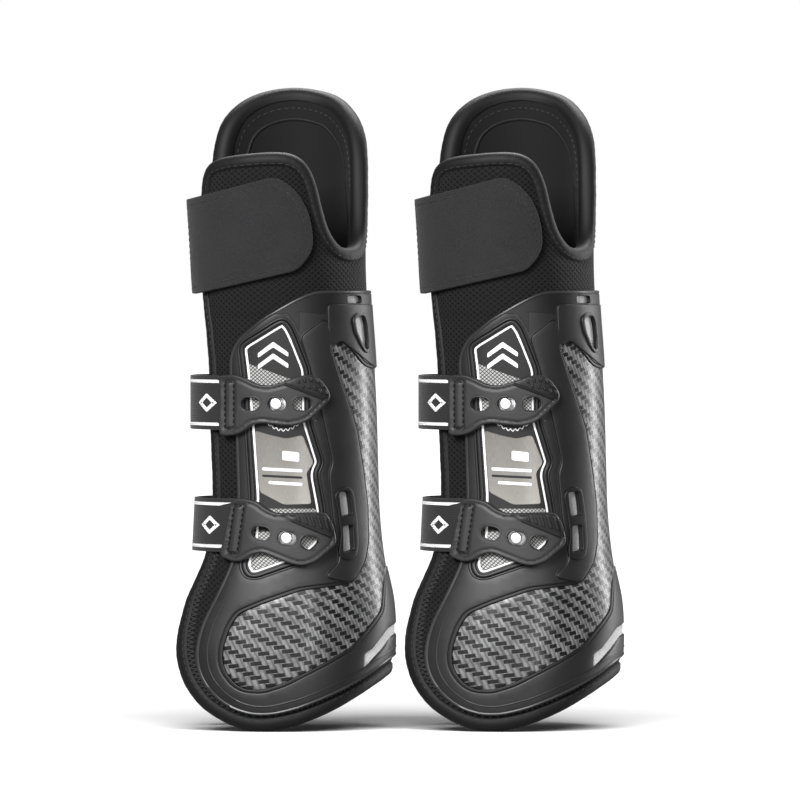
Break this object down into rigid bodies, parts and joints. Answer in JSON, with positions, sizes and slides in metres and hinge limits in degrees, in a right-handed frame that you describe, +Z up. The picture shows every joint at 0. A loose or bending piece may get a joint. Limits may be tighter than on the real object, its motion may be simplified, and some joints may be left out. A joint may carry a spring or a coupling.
{
  "type": "tendon boots",
  "caption": "Pair of open-front tendon boots: fabric lined wrap with a moulded carbon-look shell, a raised knee lobe, a hook and loop top strap and elastic straps on studs.",
  "frame": {"origin": "on the ground, midway between the two boots in X and in Y", "axes": "+Z up the leg; -X the open front of both boots, +X the back of the leg; -Y the outer side with the studs, +Y the inner side with the taller lobe"},
  "size_m": [0.2121, 0.0915, 0.3024],
  "materials": {
    "neoprene": "dark neoprene with a knitted face",
    "air_mesh": "black air mesh with a small diamond weave",
    "binding": "smooth black edge binding, slightly shiny",
    "gel": "soft gel",
    "shell_tpu": "moulded black TPU, satin",
    "carbon_look": "black and silver twill pattern under clear gloss",
    "panel_tpu": "moulded black TPU",
    "white_print": "white line",
    "silver_print": "warm silver",
    "stud_steel": "brushed steel",
    "vent_mesh": "grey spacer mesh",
    "velcro": "black hook and loop",
    "strap_web": "dark grey brushed strap",
    "elastic": "black elastic with white stripes near its edges",
    "rubber": "black moulded rubber"
  },
  "bodies": {
    "left_boot": {"left_neoprene_liner": "neoprene", "left_mesh_cover": "air_mesh", "left_edge_binding": "binding", "left_gel_pads": "gel", "left_outer_shell": "shell_tpu", "left_carbon_insert": "carbon_look", "left_stud_panel": "panel_tpu", "left_panel_outline": "white_print", "left_name_plate": "silver_print", "left_emblem": "silver_print", "left_strap_studs": "stud_steel", "left_stud_washers": "stud_steel", "left_vent_screens": "vent_mesh", "left_side_vent_bezels": "panel_tpu", "left_strap_anchor_plates": "panel_tpu", "left_anchor_rivets": "stud_steel", "left_loop_patch": "velcro", "left_top_strap_sewn_end": "strap_web", "left_upper_elastic": "elastic", "left_lower_elastic": "elastic"},
    "left_strap_bridge": {"left_top_strap_bridge": "strap_web"},
    "left_strap_tip": {"left_top_strap_tip": "strap_web", "left_hook_patch": "velcro"},
    "left_upper_tab_body": {"left_upper_tab": "rubber", "left_upper_sewn_end": "elastic"},
    "left_lower_tab_body": {"left_lower_tab": "rubber", "left_lower_sewn_end": "elastic"},
    "right_boot": {"right_neoprene_liner": "neoprene", "right_mesh_cover": "air_mesh", "right_edge_binding": "binding", "right_gel_pads": "gel", "right_outer_shell": "shell_tpu", "right_carbon_insert": "carbon_look", "right_stud_panel": "panel_tpu", "right_panel_outline": "white_print", "right_name_plate": "silver_print", "right_emblem": "silver_print", "right_strap_studs": "stud_steel", "right_stud_washers": "stud_steel", "right_vent_screens": "vent_mesh", "right_side_vent_bezels": "panel_tpu", "right_strap_anchor_plates": "panel_tpu", "right_anchor_rivets": "stud_steel", "right_loop_patch": "velcro", "right_top_strap_sewn_end": "strap_web", "right_upper_elastic": "elastic", "right_lower_elastic": "elastic"},
    "right_strap_bridge": {"right_top_strap_bridge": "strap_web"},
    "right_strap_tip": {"right_top_strap_tip": "strap_web", "right_hook_patch": "velcro"},
    "right_upper_tab_body": {"right_upper_tab": "rubber", "right_upper_sewn_end": "elastic"},
    "right_lower_tab_body": {"right_lower_tab": "rubber", "right_lower_sewn_end": "elastic"}
  },
  "joints": [
    {"name": "left_strap_swing", "type": "hinge", "parent": "left_boot", "child": "left_strap_bridge", "pos_m": [-0.09594, 0.0168, 0.231], "axis": [0.0617, 0, -0.9981], "range_deg": [0, 80]},
    {"name": "left_strap_peel", "type": "hinge", "parent": "left_strap_bridge", "child": "left_strap_tip", "pos_m": [-0.09594, -0.0168, 0.231], "axis": [0.0617, 0, -0.9981], "range_deg": [0, 120]},
    {"name": "left_upper_tab_lift", "type": "hinge", "parent": "left_boot", "child": "left_upper_tab_body", "pos_m": [-0.0868, -0.02801, 0.15315], "axis": [0, 0.0111, -0.9999], "range_deg": [0, 110]},
    {"name": "left_lower_tab_lift", "type": "hinge", "parent": "left_boot", "child": "left_lower_tab_body", "pos_m": [-0.08355, -0.03056, 0.09575], "axis": [-0.2296, 0.1305, -0.9645], "range_deg": [0, 110]},
    {"name": "right_strap_swing", "type": "hinge", "parent": "right_boot", "child": "right_strap_bridge", "pos_m": [0.01206, 0.0168, 0.231], "axis": [0.0617, 0, -0.9981], "range_deg": [0, 18]},
    {"name": "right_strap_peel", "type": "hinge", "parent": "right_strap_bridge", "child": "right_strap_tip", "pos_m": [0.01206, -0.0168, 0.231], "axis": [0.0617, 0, -0.9981], "range_deg": [0, 75]},
    {"name": "right_upper_tab_lift", "type": "hinge", "parent": "right_boot", "child": "right_upper_tab_body", "pos_m": [0.0212, -0.02801, 0.15315], "axis": [0, 0.0111, -0.9999], "range_deg": [0, 110]},
    {"name": "right_lower_tab_lift", "type": "hinge", "parent": "right_boot", "child": "right_lower_tab_body", "pos_m": [0.02445, -0.03056, 0.09575], "axis": [-0.2296, 0.1305, -0.9645], "range_deg": [0, 110]},
    {"name": "right_boot_slide", "type": "slide", "parent": "left_boot", "child": "right_boot", "axis": [1, 0, 0], "range_m": [0, 0.2]}
  ]
}
